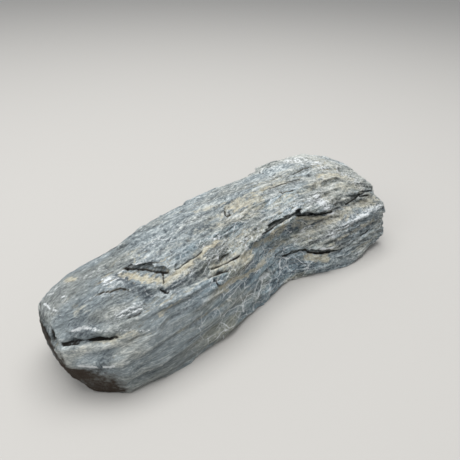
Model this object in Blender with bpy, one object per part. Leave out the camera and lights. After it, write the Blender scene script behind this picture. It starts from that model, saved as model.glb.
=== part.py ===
"""Dragon stone for an aquascape: one long natural slab of foliated grey rock, lying on a flat broken base.

+X runs along the stone to its broad end, -Y is the side with the ledges and +Z is up. The body is a loft
through hand-drawn cross-sections, with its beds and lumps raised on it. Cutters then open the cracks and the
hollows between the beds, and take off the base. Sizes are in millimetres until a mesh is made.
"""

import math

import bmesh
import bpy
from mathutils import Vector, noise

MM = 0.001

# The colours and roughness of the rock
STONE_GREY = (0.20, 0.22, 0.22, 1.0)
STONE_ROUGHNESS = 0.85

# How finely the body is first divided along its length, how round its corners are, with 0 sharp and 1 fully
# round, and how many of its triangles are kept at the end
RING_SPACING = 2.6
ROUNDNESS = 0.25
BODY_TRIANGLES = 4540

# The beds lie along the stone, rise a little to its back, and wander up and down over these lengths
BED_THICKNESS = 8.0
BED_RISE_TO_BACK = 0.16
BED_WANDER = 10.0
BED_WANDER_SIZE = (120, 60, 60)
# A bed slopes out towards its upper edge, and drops back to the next one over the last share of its thickness
RISER_START = 0.82
RISER_SHARE = 0.18
# How far ledges, hard beds and lumps stand out, and over what lengths that changes
LEDGE_RELIEF = 3.2
LEDGE_LENGTH = 50
HARDNESS_RELIEF = 1.6
HARDNESS_LENGTH = 70
LUMP_RELIEF = 1.6
LUMP_SIZE = 30
# The ledges are lower on the narrow end, from its tip along this length
CALM_START = -180
CALM_LENGTH = 100
CALM_SHARE = 0.35
# Between them the rock has split into chips of about this length, depth and height, each with its own slope
CHIP_SIZE = (70, 26, 15)
CHIP_RELIEF = 4.0
# Beds are followed as if the stone had this height at its crest everywhere, so they thin out to both ends
FULL_HEIGHT = 82.0
# The relief dies out over this depth below the ground, where the base is cut
BASE_FADE = 8

# The points of every cross-section, in order from the ledge side up, over the top and down the back, each
# with the number of steps on the stretch that follows it
OUTLINE_STEPS = {
    "foot": 10,
    "side": 8,
    "belt": 10,
    "shoulder": 9,
    "floor": 7,
    "brow": 16,
    "rise": 16,
    "crest": 16,
    "top": 14,
    "corner": 18,
    "back": 20,
    "heel": 6,
    "base": 6,
}

# Each cross-section, as its place along X and the (Y, Z) of the points named above
SECTIONS = {
    -167: [(12, 20), (7, 25), (4, 29), (4, 34), (6, 39), (9, 44), (20, 53),
           (32, 56), (44, 56), (52, 51), (57, 38), (50, 20), (30, 16)],
    -158: [(1, 4), (-3, 14), (-6, 24), (-6, 31), (1, 38), (2, 43), (18, 58),
           (33, 62), (47, 61), (56, 54), (64, 36), (60, 8), (30, 1)],
    -146: [(-13, 3), (-15, 14), (-17, 24), (-15, 31), (-5, 38), (-4, 44), (14, 60),
           (33, 66), (49, 64), (61, 56), (70, 36), (67, 0), (30, -12)],
    -130: [(-12, -8), (-15, 14), (-16, 28), (-14, 39), (-10, 43), (-9, 48), (12, 63),
           (34, 68), (53, 66), (66, 58), (76, 36), (73, -8), (32, -12)],
    -105: [(-15, -9), (-17, 14), (-15, 32), (-13, 45), (-10, 50), (-7, 56), (16, 68),
           (39, 72), (58, 70), (71, 61), (83, 36), (79, -9), (34, -12)],
    -78: [(-13, -9), (-14, 14), (-13, 32), (-11, 46), (-8, 53), (-4, 60), (20, 71),
          (42, 75), (63, 73), (79, 64), (90, 38), (86, -9), (38, -12)],
    -50: [(-9, -9), (-9, 14), (-8, 32), (-6, 48), (-4, 55), (1, 62), (24, 74),
          (47, 79), (67, 76), (84, 67), (94, 38), (89, -9), (42, -12)],
    -20: [(-2, -9), (-1, 14), (1, 32), (3, 46), (5, 54), (9, 63), (28, 75),
          (51, 80), (72, 77), (89, 68), (98, 38), (93, -9), (46, -12)],
    8: [(4, -9), (7, 14), (12, 28), (16, 44), (17, 52), (18, 62), (32, 74),
        (52, 81), (73, 78), (91, 70), (101, 38), (96, -9), (48, -12)],
    30: [(9, -9), (11, 12), (19, 26), (21, 37), (25, 50), (19, 64), (34, 76),
         (53, 81), (73, 79), (92, 70), (102, 38), (97, -9), (50, -12)],
    52: [(10, -9), (9, 8), (14, 24), (14, 37), (25, 50), (21, 65), (32, 76),
         (54, 82), (77, 80), (97, 71), (107, 38), (101, -9), (52, -12)],
    76: [(4, -9), (2, 10), (5, 22), (7, 40), (20, 50), (17, 61), (30, 74),
         (54, 83), (82, 82), (101, 73), (112, 40), (106, -9), (54, -12)],
    100: [(0, -9), (0, 12), (3, 24), (6, 44), (22, 51), (21, 60), (34, 73),
          (57, 83), (80, 83), (96, 75), (111, 40), (106, -9), (54, -12)],
    124: [(1, 0), (2, 14), (4, 28), (6, 46), (22, 52), (23, 61), (37, 73),
          (58, 80), (74, 81), (87, 75), (103, 42), (99, -8), (52, -9)],
    144: [(4, 4), (4, 16), (5, 31), (7, 47), (22, 52), (25, 60), (37, 69),
          (55, 73), (68, 74), (79, 68), (92, 42), (88, 2), (48, 0)],
    158: [(5, 6), (5, 18), (7, 33), (8, 48), (21, 52), (25, 60), (37, 66),
          (52, 69), (64, 69), (74, 63), (84, 42), (80, 8), (45, 2)],
    168: [(10, 8), (9, 18), (11, 33), (12, 47), (24, 52), (28, 58), (38, 63),
          (51, 65), (62, 65), (71, 59), (80, 40), (76, 8), (45, 2)],
}
# The middle of the stone's box as drawn, which becomes the origin
DRAWN_MIDDLE = (-5.2, 46.25, 0)
# Beyond its last section each end closes in smaller copies of it, as (size, how far they stand out)
END_CLOSING = [(0.93, 1.6), (0.8, 2.6), (0.62, 3.4), (0.42, 3.8), (0.2, 4.0)]

# Cracks and hollows, as (middle, (length, depth, height), (roll, pitch, turn in degrees)) along X, Y and Z
HOLLOWS = {
    "mouth": ((-152, 5, 45), (44, 24, 3.2), (0, -3, -31)),
    "pocket": ((-100, 18.5, 67.4), (33, 26, 5.2), (5, 3, -25)),
    "strip_crack": ((-68, 17, 69), (34, 16, 2.6), (2, -6, 11)),
    "long_crack": ((-42, 9, 62.5), (38, 18, 2.8), (0, 4, 4)),
    "short_crack": ((-60, 4, 60), (28, 14, 2.6), (0, 6, -5)),
    "brow_crack": ((27, 26, 63), (56, 22, 4.6), (-4, -7, 5)),
    "great_ledge": ((68, 27, 58.4), (56, 34, 5.6), (2, 13, -14)),
    "broad_end_ledge": ((130, 28, 56), (44, 20, 3.4), (0, 3, 8)),
    "waist_crack": ((43, 19, 28), (30, 16, 3.4), (0, -8, -15)),
    "low_hollow": ((70, 10, 24), (44, 22, 4.4), (0, 12, -15)),
    "side_seam": ((116, 6, 24), (62, 12, 3), (0, -5, 4)),
    "top_ledge": ((92, 60, 83), (66, 16, 4), (32, 0, 3)),
    "end_pit": ((-172, 33, 41), (9, 11, 9), (0, 0, 0)),
    "end_chip": ((-170, 18, 44), (8, 9, 7), (0, 0, 0)),
    "back_seam": ((-70, 90, 42), (90, 14, 4), (-8, 3, 10)),
    "back_hollow": ((30, 103, 50), (80, 20, 7), (-14, -4, 6)),
    "back_low_seam": ((84, 111, 24), (70, 14, 4), (0, 4, -4)),
}
HOLLOW_RAGGEDNESS = 0.16
# The noise that gives directions is shifted by this seed
NOISE_SEED = 5
GROUND_SIZE = (400, 200, 40)

# Flat breaks that took off the stone's corners, as (a point on the break, the way it faces)
BREAKS = {
    "front_corner": ((-146, -11, 28), (-0.62, -0.78, -0.1)),
    "broad_end": ((159, 8, 30), (0.99, 0.07, 0.08)),
    "broad_end_top": ((147, 20, 68), (0.74, -0.1, 0.66)),
}
BREAK_SIZE = 200
BREAK_DIVISIONS = 12
BREAK_RELIEF = 2.4
BREAK_LUMP_SIZE = 22


def curve_between(before, start, end, after, share):
    """A point between start and end, on the smooth curve that also heeds the points before and after."""
    square, cube = share * share, share * share * share
    return (
        before * (-0.5 * share + square - 0.5 * cube)
        + start * (1 - 2.5 * square + 1.5 * cube)
        + end * (0.5 * share + 2 * square - 1.5 * cube)
        + after * (-0.5 * square + 0.5 * cube)
    )


def outline_points(corners):
    """The closed outline through the corners, part of the way from straight facets to a smooth curve."""
    corners = [Vector(corner) for corner in corners]
    count = len(corners)
    points = []
    for i, steps in enumerate(OUTLINE_STEPS.values()):
        start, end = corners[i], corners[(i + 1) % count]
        for step in range(steps):
            share = step / steps
            curved = curve_between(corners[i - 1], start, end, corners[(i + 2) % count], share)
            points.append(start.lerp(end, share).lerp(curved, ROUNDNESS))
    return points


def closing_rings(ring, outward):
    """Smaller copies of an end ring, each standing out a little more."""
    centre = sum(ring, Vector()) / len(ring)
    rings = []
    for size, out in END_CLOSING:
        rings.append([centre.lerp(point, size) + Vector((outward * out, 0, 0)) for point in ring])
    return rings


def loft_rings():
    """Rings of points from the narrow end to the broad end."""
    places = list(SECTIONS)
    outlines = [outline_points(corners) for corners in SECTIONS.values()]
    last = len(places) - 1
    rings = []
    for i in range(last):
        length = places[i + 1] - places[i]
        steps = max(1, round(length / RING_SPACING))
        for step in range(steps + (i == last - 1)):
            share = step / steps
            around = [outlines[n] for n in (max(i - 1, 0), i, i + 1, min(i + 2, last))]
            across = [curve_between(*points, share) for points in zip(*around)]
            rings.append([Vector((places[i] + share * length, y, z)) for y, z in across])
    return closing_rings(rings[0], -1)[::-1] + rings + closing_rings(rings[-1], 1)


def chip_relief(point):
    """The slope of the split face that a point lies on, which breaks off at the face's border."""
    place = Vector(along / size for along, size in zip(point, CHIP_SIZE))
    chip = noise.voronoi(place)[1][0]
    slope = noise.noise_vector(chip * 4.3)
    return CHIP_RELIEF * slope.dot(place - chip)


def relief(point, crest_height):
    """How far the rock stands out at a point."""
    wander = BED_WANDER * noise.noise(Vector(along / size for along, size in zip(point, BED_WANDER_SIZE)))
    level = point.z * FULL_HEIGHT / crest_height + BED_RISE_TO_BACK * point.y + wander
    level /= BED_THICKNESS
    bed = math.floor(level)
    share = level - bed
    riser = min(1, max(0, (share - RISER_START) / RISER_SHARE))
    reach = noise.noise(Vector((point.x / LEDGE_LENGTH, 7.3 * bed, 1.7)))
    calm = min(1, max(CALM_SHARE, (point.x - CALM_START) / CALM_LENGTH))
    ledge = calm * (share - riser) * LEDGE_RELIEF * (0.55 + reach)
    hard, next_hard = (noise.noise(Vector((point.x / HARDNESS_LENGTH, 5.1 * (bed + n), 9.2))) for n in (0, 1))
    hardness = HARDNESS_RELIEF * 2 * (hard + riser * (next_hard - hard))
    lump = LUMP_RELIEF * noise.noise(point / LUMP_SIZE)
    above_ground = min(1, max(0, 1 + point.z / BASE_FADE))
    return above_ground * (lump + hardness - ledge + chip_relief(point))


def outward_direction(rings, i, j):
    """The way the surface faces at point j of ring i, from the points around it."""
    ring = rings[i]
    along = rings[min(i + 1, len(rings) - 1)][j] - rings[max(i - 1, 0)][j]
    around = ring[(j + 1) % len(ring)] - ring[j - 1]
    return along.cross(around).normalized()


def raised_rings():
    """The rings of the body with its beds and lumps raised."""
    rings = loft_rings()
    heights = [max(point.z for point in ring) for ring in rings]
    closing = len(END_CLOSING)
    heights[:closing] = [heights[closing]] * closing
    heights[-closing:] = [heights[-closing - 1]] * closing
    # The relief dies out to the middle of each end face
    sizes = [size for size, _ in END_CLOSING]
    shares = sizes[::-1] + [1] * (len(rings) - 2 * closing) + sizes
    raised = []
    for i, (ring, height, share) in enumerate(zip(rings, heights, shares)):
        raised.append([])
        for j, point in enumerate(ring):
            amount = share * share * relief(point, height)
            raised[-1].append(point + amount * outward_direction(rings, i, j))
    return raised


def body_mesh():
    """The lofted body, closed at both ends."""
    shape = bmesh.new()
    rings = [[shape.verts.new(point) for point in ring] for ring in raised_rings()]
    count = len(rings[0])
    for one, other in zip(rings, rings[1:]):
        for i in range(count):
            after = (i + 1) % count
            shape.faces.new((one[i], one[after], other[after], other[i]))
    for ring in (rings[0], rings[-1]):
        shape.faces.new(ring)
    bmesh.ops.recalc_face_normals(shape, faces=shape.faces)
    return finished_mesh("stone", shape)


def finished_mesh(name, shape):
    """The shape, drawn in millimetres, as a mesh in metres."""
    bmesh.ops.scale(shape, vec=(MM, MM, MM), verts=shape.verts)
    mesh = bpy.data.meshes.new(name)
    shape.to_mesh(mesh)
    shape.free()
    return mesh


def hollow_mesh(name, size):
    """A ragged lens of the given length, depth and height."""
    shape = bmesh.new()
    bmesh.ops.create_icosphere(shape, subdivisions=3, radius=0.5)
    own_place = 13.7 * len(bpy.data.objects)
    for vertex in shape.verts:
        vertex.co += HOLLOW_RAGGEDNESS * noise.noise_vector(2.4 * vertex.co + Vector((own_place, 0, 0)))
    bmesh.ops.scale(shape, vec=size, verts=shape.verts)
    return finished_mesh(name, shape)


def ground_mesh():
    """The block under the stone that its flat base is cut with."""
    shape = bmesh.new()
    bmesh.ops.create_cube(shape, size=1)
    bmesh.ops.scale(shape, vec=GROUND_SIZE, verts=shape.verts)
    return finished_mesh("ground", shape)


def break_mesh(name, place, facing):
    """A block beyond a flat break, whose near face is a little uneven."""
    shape = bmesh.new()
    bmesh.ops.create_cube(shape, size=BREAK_SIZE)
    bmesh.ops.subdivide_edges(shape, edges=shape.edges, cuts=BREAK_DIVISIONS, use_grid_fill=True)
    turn = Vector(facing).to_track_quat("Z", "Y")
    for vertex in shape.verts:
        vertex.co.z += BREAK_SIZE / 2
        vertex.co = turn @ vertex.co
        unevenness = BREAK_RELIEF * noise.noise((vertex.co + Vector(place)) / BREAK_LUMP_SIZE)
        vertex.co += unevenness * Vector(facing)
    return finished_mesh(name, shape)


def add_cutter(mesh, place, turns, collection):
    cutter = bpy.data.objects.new(mesh.name, mesh)
    cutter.location = (Vector(place) - Vector(DRAWN_MIDDLE)) * MM
    cutter.rotation_euler = [math.radians(turn) for turn in turns]
    cutter.hide_render = True
    cutter.display_type = "WIRE"
    collection.objects.link(cutter)
    return cutter


def new_collection(name):
    collection = bpy.data.collections.new(name)
    bpy.context.scene.collection.children.link(collection)
    return collection


def rock_material():
    material = bpy.data.materials.new("slaty_rock")
    material.use_nodes = True
    surface = material.node_tree.nodes["Principled BSDF"]
    surface.inputs["Base Color"].default_value = STONE_GREY
    surface.inputs["Roughness"].default_value = STONE_ROUGHNESS
    surface.inputs["Metallic"].default_value = 0.0
    return material


def main():
    for old in list(bpy.data.objects):
        bpy.data.objects.remove(old)
    noise.seed_set(NOISE_SEED)
    parts = new_collection("dragon_stone")
    cutters = new_collection("cutters")
    stone = bpy.data.objects.new("stone", body_mesh())
    stone.data.materials.append(rock_material())
    stone.location = -Vector(DRAWN_MIDDLE) * MM
    parts.objects.link(stone)

    thinned = stone.modifiers.new("facets", "DECIMATE")
    stone.data.calc_loop_triangles()
    thinned.ratio = BODY_TRIANGLES / len(stone.data.loop_triangles)
    thinned.use_collapse_triangulate = True
    ground = add_cutter(ground_mesh(), (0, 50, -GROUND_SIZE[2] / 2), (0, 0, 0), cutters)
    cut = stone.modifiers.new("base", "BOOLEAN")
    cut.object = ground
    # The relief may fold the thinned body through itself in a groove, and this first cut mends that too
    cut.use_self = True
    for name, (place, facing) in BREAKS.items():
        cut = stone.modifiers.new(name, "BOOLEAN")
        cut.object = add_cutter(break_mesh(name, place, facing), place, (0, 0, 0), cutters)
    for name, (middle, size, turns) in HOLLOWS.items():
        cut = stone.modifiers.new(name, "BOOLEAN")
        cut.object = add_cutter(hollow_mesh(name, size), middle, turns, cutters)


main()
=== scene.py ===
# %% [markdown]
# # A long slab of foliated grey rock
#
# The stone is one natural piece: a slaty rock that split along its beds and was then weathered, so its sides
# show ledges, cracks and hollows with clay in them, and pale veins cross them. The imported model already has
# its size, its outline and its large ledges and cracks. This script makes the surface that a hand would feel
# and an eye would see: the thin beds, flakes, cracks and veins, and their colours.
#
# Sizes are in millimetres, because the relief of a stone is a matter of millimetres. Only those of the
# camera, the floor, the lamps and the bump are in metres.

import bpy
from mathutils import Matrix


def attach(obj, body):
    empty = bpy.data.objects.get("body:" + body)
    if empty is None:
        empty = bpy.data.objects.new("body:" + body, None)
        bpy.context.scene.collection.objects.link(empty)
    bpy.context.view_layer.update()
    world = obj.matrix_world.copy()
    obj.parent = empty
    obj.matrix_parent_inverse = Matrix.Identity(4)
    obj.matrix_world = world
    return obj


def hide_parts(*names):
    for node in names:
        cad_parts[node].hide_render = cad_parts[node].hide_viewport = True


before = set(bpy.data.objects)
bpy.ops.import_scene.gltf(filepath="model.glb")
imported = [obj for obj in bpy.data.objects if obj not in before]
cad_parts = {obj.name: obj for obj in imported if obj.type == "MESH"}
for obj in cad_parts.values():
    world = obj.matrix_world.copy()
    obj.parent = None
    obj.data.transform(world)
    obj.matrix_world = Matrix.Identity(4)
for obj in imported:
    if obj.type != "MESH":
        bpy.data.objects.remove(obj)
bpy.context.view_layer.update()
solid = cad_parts["stone"]

# %% Modules
import math

import bpy
import numpy as np
from mathutils import Vector, noise
from mathutils.bvhtree import BVHTree

MM = 0.001
print("Blender", bpy.app.version_string)

# %% [markdown]
# ## The camera
#
# The picture was taken from just above the table, over the stone's narrow end. The camera could be aimed with
# a Track To constraint, but a measured place and turn keep the stone's outline exactly where it is in the
# picture, so those are given. The lens is as long as the sensor is wide, so that a pixel of the picture is a
# simple slope.

# %% Add the camera
CAMERA_PLACE = (-0.20295, -0.26082, 0.27)
CAMERA_TURN = (56.839, -1.682, -36.501)
SENSOR = 36
PICTURE_SIDE = 460
NEAREST_SEEN = 0.01

bpy.ops.object.select_all(action="DESELECT")
bpy.ops.object.camera_add(location=CAMERA_PLACE, rotation=[math.radians(turn) for turn in CAMERA_TURN])
camera = bpy.context.object
camera.data.lens = SENSOR
camera.data.sensor_width = SENSOR
camera.data.clip_start = NEAREST_SEEN
bpy.context.scene.camera = camera
print("camera at", CAMERA_PLACE)

# %% [markdown]
# ## Floor and light
#
# The stone lies on a plain pale floor. The light in the picture is a broad ceiling light: the top of the
# stone is more than twice as bright as its side, and the shadows are short and soft. One large area light
# overhead gives that, a weaker one stands for a window at the left, and an even pale world fills the side
# that faces the camera. The standard transform shows the colours as a plain photograph does.

# %% Add the floor, the lights and the world
FLOOR_SIDE = 12.0
FLOOR_COLOUR = (0.47, 0.455, 0.43, 1)
FLOOR_ROUGHNESS = 0.9
LAMPS = {
    # name: (place, turn in degrees, (length, depth), watts), in metres
    "ceiling": ((0.0, 0.2, 1.5), (-8, 0, 0), (1.5, 1.2), 26),
    "window": ((-1.4, -0.2, 1.1), (54, 0, -84), (1.0, 0.8), 7),
}
WORLD_STRENGTH = 0.52
WORLD_COLOUR = (0.93, 0.96, 1.0, 1)

bpy.ops.mesh.primitive_plane_add(size=FLOOR_SIDE)
floor = bpy.context.object
floor.name = "floor"
floor_paint = bpy.data.materials.new("floor_paint")
floor_paint.use_nodes = True
floor_surface = floor_paint.node_tree.nodes["Principled BSDF"]
floor_surface.inputs["Base Color"].default_value = FLOOR_COLOUR
floor_surface.inputs["Roughness"].default_value = FLOOR_ROUGHNESS
floor.data.materials.append(floor_paint)

for name, (place, turn, (length, depth), watts) in LAMPS.items():
    bpy.ops.object.light_add(type="AREA", location=place, rotation=[math.radians(angle) for angle in turn])
    lamp = bpy.context.object
    lamp.name = name
    lamp.data.shape = "RECTANGLE"
    lamp.data.size = length
    lamp.data.size_y = depth
    lamp.data.energy = watts

world = bpy.data.worlds.new("even_light")
world.use_nodes = True
background = world.node_tree.nodes["Background"]
background.inputs["Color"].default_value = WORLD_COLOUR
background.inputs["Strength"].default_value = WORLD_STRENGTH
bpy.context.scene.world = world
bpy.context.scene.view_settings.view_transform = "Standard"
print("lamps:", ", ".join(LAMPS))

# %% [markdown]
# ## A fine skin over the solid
#
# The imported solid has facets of 5 to 10 mm. A stone's surface could be made with a displacement in the
# material, but then the mesh itself would stay plain, and the flakes and cracks should be real shapes. So the
# solid is copied, its loose triangles are merged, and a voxel remesh gives it an even skin of small quads,
# which a little smoothing frees from the facets. Every quad is then about as large as one pixel of the
# picture.

# %% Copy, merge and remesh the solid
VOXEL = 1.27
MERGE_DISTANCE = 0.01
SOFTENING = 0.5
SOFTENING_STEPS = 3


def select_only(piece):
    bpy.ops.object.select_all(action="DESELECT")
    piece.select_set(True)
    bpy.context.view_layer.objects.active = piece


def apply_modifier(piece, kind, **settings):
    select_only(piece)
    modifier = piece.modifiers.new(kind.lower(), kind)
    for name, value in settings.items():
        setattr(modifier, name, value)
    bpy.ops.object.modifier_apply(modifier=modifier.name)


stone = bpy.data.objects.new("stone_surface", solid.data.copy())
bpy.context.scene.collection.objects.link(stone)
stone.data.materials.clear()
select_only(stone)
bpy.ops.object.mode_set(mode="EDIT")
bpy.ops.mesh.select_all(action="SELECT")
bpy.ops.mesh.remove_doubles(threshold=MERGE_DISTANCE * MM)
bpy.ops.mesh.normals_make_consistent(inside=False)
bpy.ops.object.mode_set(mode="OBJECT")
apply_modifier(stone, "REMESH", mode="VOXEL", voxel_size=VOXEL * MM, adaptivity=0)
apply_modifier(stone, "SMOOTH", factor=SOFTENING, iterations=SOFTENING_STEPS)
print("skin:", len(stone.data.vertices), "points,", len(stone.data.polygons), "quads")

# %% Read the skin into arrays
def read(collection, name, width, kind=np.float64):
    """A property of every item of a collection, as an array with a row for each item."""
    values = np.empty(len(collection) * width, kind)
    collection.foreach_get(name, values)
    return values.reshape(-1, width) if width > 1 else values


points = read(stone.data.vertices, "co", 3) / MM
normals = read(stone.data.vertex_normals, "vector", 3)
edges = read(stone.data.edges, "vertices", 2, np.int32)
count = len(points)
neighbours = np.bincount(edges.ravel(), minlength=count)
print("box of the skin in mm:", points.min(axis=0).round(1), points.max(axis=0).round(1))


def blurred(values, steps):
    """The values after each point has gone halfway to its neighbours' mean so many times."""
    for _ in range(steps):
        total = np.zeros(count)
        np.add.at(total, edges[:, 0], values[edges[:, 1]])
        np.add.at(total, edges[:, 1], values[edges[:, 0]])
        values = (values + total / neighbours) / 2
    return values


def fade(values, start, end):
    """0 at start and 1 at end, with a smooth step between them."""
    share = np.clip((values - start) / (end - start), 0, 1)
    return share * share * (3 - 2 * share)


# %% [markdown]
# ## The grain of the rock
#
# The beds and the fine streaks of a foliated rock run along it and follow its outline, bending where it
# bends. The streaks could be drawn with coordinates of the straight box, but at the waist and the narrow end
# they would run out of the side. So every point gets a place in the grain instead: how far along it lies, how
# far across from the middle of its slice, and how high as a share of its slice. It is kept as an attribute of
# the mesh, and the material reads its patterns from it.

# %% Work out the grain
SLICE = 8
HALF_DEPTH = 62
HEIGHT = 82
BEND_SMOOTHING = 5

slices = np.floor((points[:, 0] - points[:, 0].min()) / SLICE).astype(int)
slice_places, lows, highs, crests = [], [], [], []
for n in range(slices.max() + 1):
    inside = points[slices == n]
    slice_places.append(inside[:, 0].mean())
    lows.append(inside[:, 1].min())
    highs.append(inside[:, 1].max())
    crests.append(inside[:, 2].max())


def evened(values):
    """A slice's value, averaged with the slices beside it."""
    padded = np.pad(values, BEND_SMOOTHING, mode="edge")
    window = np.ones(2 * BEND_SMOOTHING + 1) / (2 * BEND_SMOOTHING + 1)
    return np.convolve(padded, window, mode="valid")


middle = np.interp(points[:, 0], slice_places, evened((np.array(lows) + highs) / 2))
half_depth = np.interp(points[:, 0], slice_places, evened((np.array(highs) - lows) / 2))
crest = np.interp(points[:, 0], slice_places, evened(crests))
grain = np.column_stack(
    [points[:, 0], (points[:, 1] - middle) * HALF_DEPTH / half_depth, points[:, 2] * HEIGHT / crest]
)
print("slices:", len(slice_places), "crest from", round(min(crests)), "to", round(max(crests)), "mm")

# %% Let the grain waver
NOISE_SEED = 3
WAVER_SIZES = (42, 17, 17)
WAVER = (0, 5.0, 3.6)
WAVER_PLACE, AXIS_GAP = 71.0, 9

noise.seed_set(NOISE_SEED)


def noise_over(places, sizes, own_place=0.0):
    """Smooth noise from about -1 to 1, with lumps of the given sizes, read at a place of its own."""
    scaled = places / np.array(sizes) + own_place
    return np.array([noise.noise(Vector(place)) for place in scaled])


for axis, amount in enumerate(WAVER):
    if amount:
        grain[:, axis] += amount * noise_over(points, WAVER_SIZES, WAVER_PLACE + AXIS_GAP * axis)
print("grain from", grain.min(axis=0).round(), "to", grain.max(axis=0).round())

# %% [markdown]
# ## Where the rock differs
#
# The stone isn't the same all over. The low side of the narrow half is a smooth face that split clean, with
# only fine lines on it. The top and the broad end are flaky, but where the beds end in the broad end's own
# face they are calmer. The side at the waist is darker and bluer and has a web of fine veins, which thins out
# past the waist. The corner under the narrow end and that end's face are breaks, which damp has stained
# brown, and the stain is painted nearly black as their shade too. The tops towards the broad end are painted
# lighter, as the light that falls on them.
#
# Hard borders could part them, but the rock has none. So each is a soft mask over the points, made from their
# place and from the way the surface faces.

# %% Make the masks of the regions
# Each pair is where a mask starts and where it is full: places in mm, or how squarely the surface faces a way
FACING_SIDE = (0.25, 0.7)
FACING_UP = (0.2, 0.75)
NARROW_HALF = (30, -30)
SMOOTH_BELOW = (66, 52)
CAP_PAST = (-95, -140)
PAINTED_TOP_LIGHT_PAST = (-70, 120)
WEB_PAST = (-100, -40)
WEB_THINNER_PAST = (55, 90)
CORNER_WAY = (-0.62, -0.78, -0.1)
CORNER_FACING, CORNER_PAST, CORNER_BELOW = (0.7, 0.93), (-118, -132), (31, 26)
NARROW_END_FACING, NARROW_END_PAST = (0.75, 0.95), (-145, -155)
BROAD_END_FACING, BROAD_END_PAST = (0.3, 0.8), (100, 130)
# How much of the flakes or of the web each region takes away
FACE_CALM, CAP_CALM, BROAD_END_CALM = 0.8, 0.6, 0.5
LEAST_FLAKY = 0.15
WEB_THINNING = 0.65

x, z = points[:, 0], points[:, 2]
facing_side = fade(-normals[:, 1], *FACING_SIDE)
facing_up = fade(normals[:, 2], *FACING_UP)
narrow_half = fade(x, *NARROW_HALF)
smooth_face = facing_side * narrow_half * fade(z, *SMOOTH_BELOW)
cap = fade(x, *CAP_PAST) * (1 - smooth_face)
broad_end = fade(normals[:, 0], *BROAD_END_FACING) * fade(x, *BROAD_END_PAST)
flaky = np.clip(1 - FACE_CALM * smooth_face - CAP_CALM * cap, LEAST_FLAKY, 1)
flaky *= 1 - BROAD_END_CALM * broad_end
# Upward faces towards the broad end, painted lighter as the light on the top, and given more flecks and
# scratches
painted_top_light_and_flecks = facing_up * fade(x, *PAINTED_TOP_LIGHT_PAST)
web_share = facing_side * fade(x, *WEB_PAST)
web_share *= 1 - WEB_THINNING * fade(x, *WEB_THINNER_PAST)
corner_break = fade(normals @ np.array(CORNER_WAY), *CORNER_FACING)
corner_break *= fade(x, *CORNER_PAST) * fade(z, *CORNER_BELOW)
end_break = fade(-normals[:, 0], *NARROW_END_FACING) * fade(x, *NARROW_END_PAST)
break_face = np.maximum(corner_break, end_break)
print("smooth face:", round(float(smooth_face.mean()), 3), "cap:", round(float(cap.mean()), 3))

# %% [markdown]
# ## Thin beds, flakes and lines
#
# Each thin bed slopes out towards its upper edge and drops back to the next one, so the surface has steps
# that run along the grain. They could be cut one by one, but there are hundreds, so their height is worked
# out at every point from which bed it lies in. Between the steps the rock has split into flakes, each with a
# slope of its own, and the finest lines are a ridged noise that is drawn out along the grain. The thin beds
# show most where the thick ones show least.

# %% Work out the relief
BED_DIP = 0.16
BED_WAVE, BED_WAVE_SIZES = 1.3, (60, 22, 14)
BED_EDGE_SIZES = (16, 4, 4)
RISER_START = 0.78
# Each flake looks its slope up in a noise, at its own place times this
SLOPE_LOOKUP = 4.3
# How far each kind of relief reaches in mm
THICK_STEP, THIN_STEP = 1.3, 1.0
BROAD_FLAKE, SMALL_FLAKE = 1.8, 1.9
FINE_LINE = 0.20
PIT = 1.1
# What is left of each where the rock isn't flaky or patchy
THICK_LEAST, BROAD_FLAKE_LEAST, FINE_LINE_LEAST = 0.3, 0.35, 0.5
THIN_MOST, THIN_LOSS = 1.2, 0.7


def bed_steps(thickness, raggedness, own_place):
    """A sawtooth from 0 to 1 through beds of the given thickness, with ragged edges."""
    level = (grain[:, 2] + BED_DIP * grain[:, 1]) / thickness
    level += BED_WAVE * noise_over(grain, BED_WAVE_SIZES, own_place)
    level += raggedness * noise_over(grain, BED_EDGE_SIZES, own_place + 5)
    share = level - np.floor(level)
    return share - np.clip((share - RISER_START) / (1 - RISER_START), 0, 1)


def flake_slopes(sizes, own_place):
    """The height of each point on the flake that it lies in, which has a slope of its own."""
    heights = np.empty(count)
    for i, place in enumerate(grain / np.array(sizes) + own_place):
        place = Vector(place)
        flake = noise.voronoi(place)[1][0]
        heights[i] = noise.noise_vector(SLOPE_LOOKUP * flake).dot(place - flake)
    return heights


def at_least(least, mask):
    """The least value where the mask is 0, and 1 where it is full."""
    return least + (1 - least) * mask


thick_steps = bed_steps(thickness=6.5, raggedness=0.5, own_place=11.0)
thin_steps = bed_steps(thickness=2.6, raggedness=0.7, own_place=23.0)
patchy = fade(noise_over(grain, (45, 18, 14), own_place=31.0), -0.35, 0.35)
broad_flakes = flake_slopes((34, 11, 8), own_place=3.0)
small_flakes = flake_slopes((13, 4.5, 3.5), own_place=7.0)
lines = 1 - 2 * np.abs(noise_over(grain, (22, 2.6, 2.6), own_place=41.0))
pits = fade(noise_over(grain, (7, 3.2, 3.2), own_place=53.0), 0.35, 0.75)

relief = -THICK_STEP * thick_steps * flaky * (THICK_LEAST + patchy)
relief -= THIN_STEP * thin_steps * flaky * (THIN_MOST - THIN_LOSS * patchy)
relief += BROAD_FLAKE * broad_flakes * at_least(BROAD_FLAKE_LEAST, flaky)
relief += SMALL_FLAKE * small_flakes * flaky
relief += FINE_LINE * lines * at_least(FINE_LINE_LEAST, flaky)
relief -= PIT * pits * flaky * patchy
relief -= relief.mean()
print("relief in mm:", round(float(relief.min()), 2), "to", round(float(relief.max()), 2))
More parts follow.
